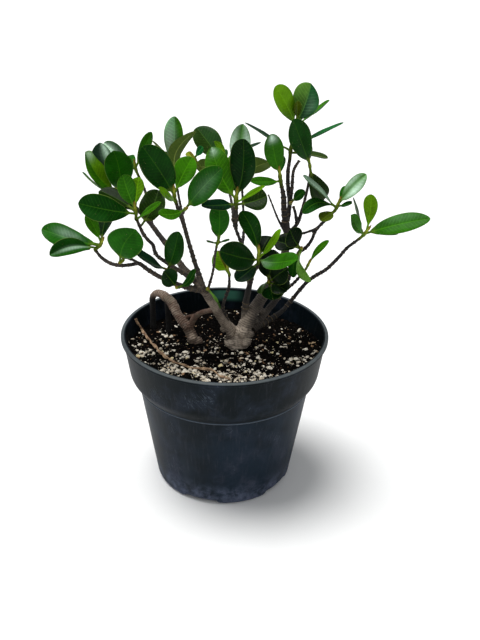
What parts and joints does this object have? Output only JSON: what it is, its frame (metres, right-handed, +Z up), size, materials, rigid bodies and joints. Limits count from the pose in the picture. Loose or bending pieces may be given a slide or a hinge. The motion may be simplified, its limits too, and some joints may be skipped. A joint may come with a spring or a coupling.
{
  "type": "potted green island ficus",
  "caption": "Small ficus with thick rounded leaves on knobbly branches and arched exposed roots, growing in a black tapered nursery pot of dark soil with white perlite.",
  "frame": {"origin": "middle of the pot's flat underside, on the surface it stands on", "axes": "+Z up along the pot's axis; -Y is the front of the plant as pictured; +X to its right"},
  "size_m": [0.2722, 0.16, 0.3143],
  "materials": {
    "pot": "matte, scuffed",
    "soil": "coarse, with white grains",
    "bark": "rough",
    "dry_root": "rough",
    "leaves": "waxy"
  },
  "bodies": {
    "root": {"pot": "pot", "soil": "soil", "woody_plant": "bark", "surface_root": "dry_root", "shoot_far_left": "leaves", "shoot_low_left": "leaves", "shoot_left": "leaves", "shoot_upper_left": "leaves", "shoot_top_left": "leaves", "shoot_middle_left": "leaves", "shoot_middle_left_side": "leaves", "shoot_back_left": "leaves", "shoot_back_middle": "leaves", "shoot_back_middle_side": "leaves", "shoot_middle": "leaves", "shoot_behind": "leaves", "shoot_centre_right": "leaves", "shoot_top": "leaves", "shoot_right": "leaves", "shoot_outer_right": "leaves", "shoot_far_right": "leaves", "shoot_thin_middle": "leaves", "shoot_thin_front": "leaves", "shoot_low_middle": "leaves", "shoot_low_right": "leaves", "shoot_right_twig": "leaves", "shoot_left_inner": "leaves", "shoot_low_left_inner": "leaves", "shoot_inner": "leaves", "shoot_left_arm": "leaves", "shoot_spur_leaf": "leaves"}
  },
  "joints": []
}
